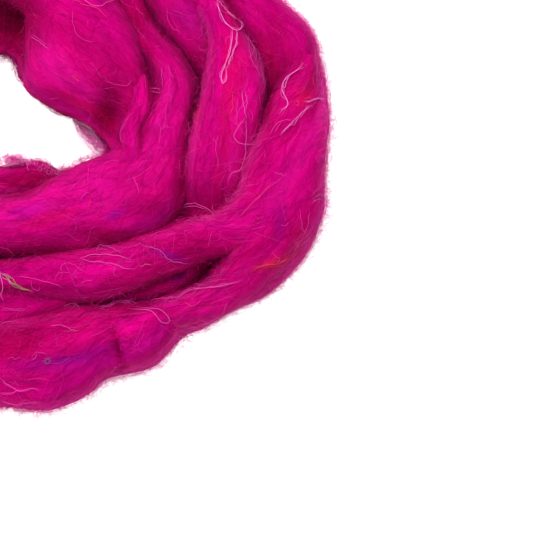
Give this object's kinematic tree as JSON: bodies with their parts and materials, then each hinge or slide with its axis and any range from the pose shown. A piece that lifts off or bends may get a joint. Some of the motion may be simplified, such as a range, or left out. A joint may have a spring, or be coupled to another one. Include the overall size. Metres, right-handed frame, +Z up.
{
  "type": "coil of sari silk roving",
  "caption": "Loose flat coil of carded sari silk roving laid round an open eye, for spinning, felting or weaving.",
  "frame": {"origin": "middle of the coil's footprint, on the surface that it lies on", "axes": "+Z up from that surface; seen from straight above, +X is to the right and +Y is up the picture"},
  "size_m": [0.2726, 0.2615, 0.0426],
  "materials": {
    "silk_fibre": "carded silk, soft sheen"
  },
  "bodies": {
    "root": {"roving_coil": "silk_fibre"}
  },
  "joints": []
}
